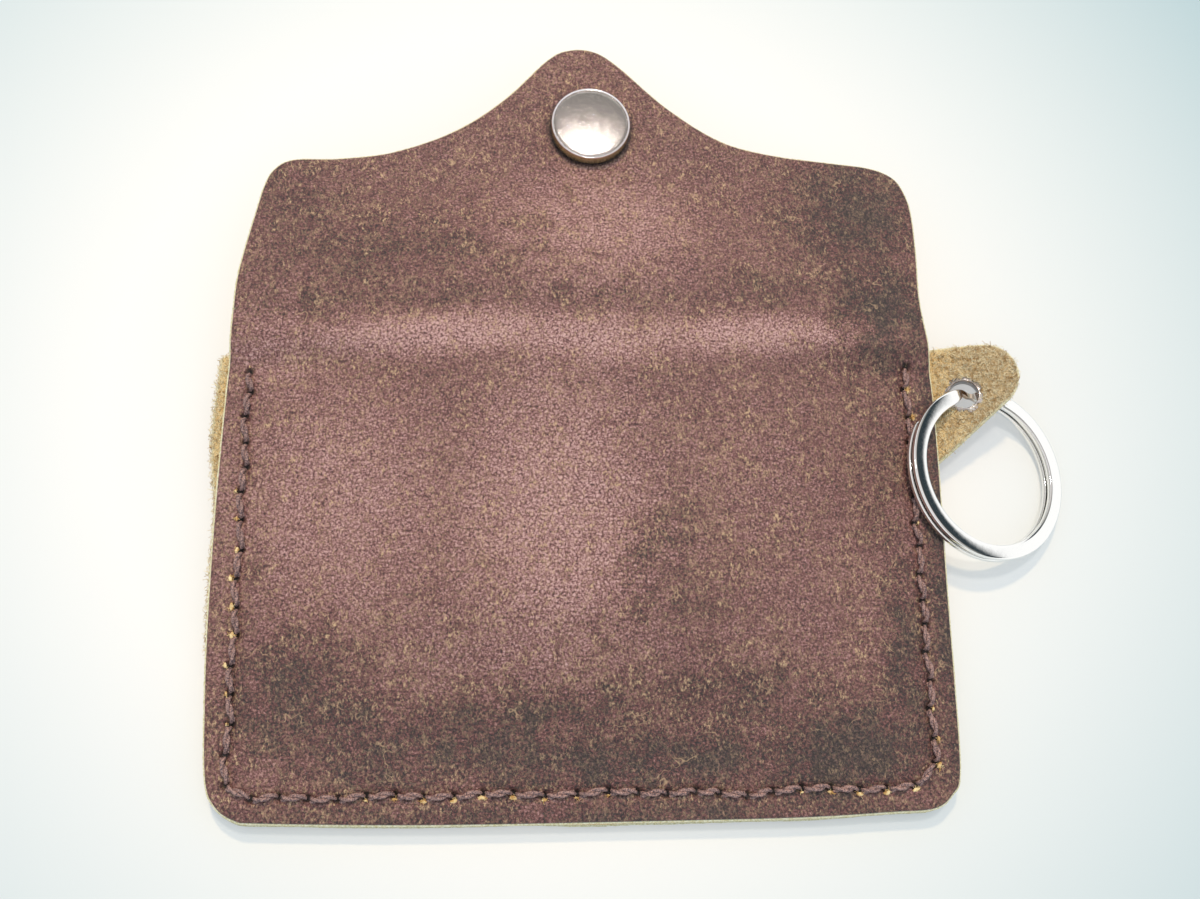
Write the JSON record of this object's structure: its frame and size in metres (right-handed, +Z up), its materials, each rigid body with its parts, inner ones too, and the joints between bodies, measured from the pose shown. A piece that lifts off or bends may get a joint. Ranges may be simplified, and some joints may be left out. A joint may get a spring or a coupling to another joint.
{
  "type": "keychain card wallet",
  "caption": "Hand-stitched leather card wallet with a snap flap and a side key tab whose petalled eyelet holds a flat-wire split ring, lying face down with its flap open.",
  "frame": {"origin": "middle of the whole wallet's box, on the table it rests on", "axes": "+X towards the key tab, along the longest side; +Y from the bottom seam towards the flap's tongue; +Z up, out of the back panel's grain side"},
  "size_m": [0.1306, 0.1216, 0.0123],
  "materials": {
    "leather_grain": "distressed, waxed grain",
    "leather_flesh": "rough flesh side",
    "waxed_thread": "waxed",
    "nickel": "polished, scratched",
    "spring_brass": "bright",
    "steel": "polished"
  },
  "bodies": {
    "pocket": {"back_panel": "leather_grain", "front_panel": "leather_flesh", "seam_thread_back": "waxed_thread", "seam_thread_front": "waxed_thread", "snap_stud": "nickel", "stud_post": "nickel"},
    "spine": {"fold_spine": "leather_grain"},
    "flap": {"flap": "leather_grain", "snap_cap": "nickel", "cap_post": "nickel", "snap_socket": "nickel", "socket_spring": "spring_brass"},
    "tab": {"key_tab": "leather_flesh", "eyelet": "nickel"},
    "ring": {"split_ring": "steel"}
  },
  "joints": [
    {"name": "spine_fold", "type": "hinge", "parent": "pocket", "child": "spine", "pos_m": [-0.01026, 0.01015, 0.00754], "axis": [-1, 0, 0], "range_deg": [0, 90]},
    {"name": "flap_fold", "type": "hinge", "parent": "spine", "child": "flap", "pos_m": [-0.01026, 0.01759, 0.00787], "axis": [-1, 0, 0], "range_deg": [0, 87.4]},
    {"name": "tab_bend", "type": "hinge", "parent": "pocket", "child": "tab", "pos_m": [0.04444, 0.00152, 0.00354], "axis": [0, 0.999, 0.0452], "range_deg": [0, 40]},
    {"name": "ring_swivel", "type": "hinge", "parent": "tab", "child": "ring", "pos_m": [0.04934, 0.00232, 0.00575], "axis": [-0.2724, -0.0435, 0.9612], "range_deg": [0, 110]}
  ],
  "couplings": [
    {"joint": "spine_fold", "follows": "flap_fold", "ratio": 1.0297}
  ]
}
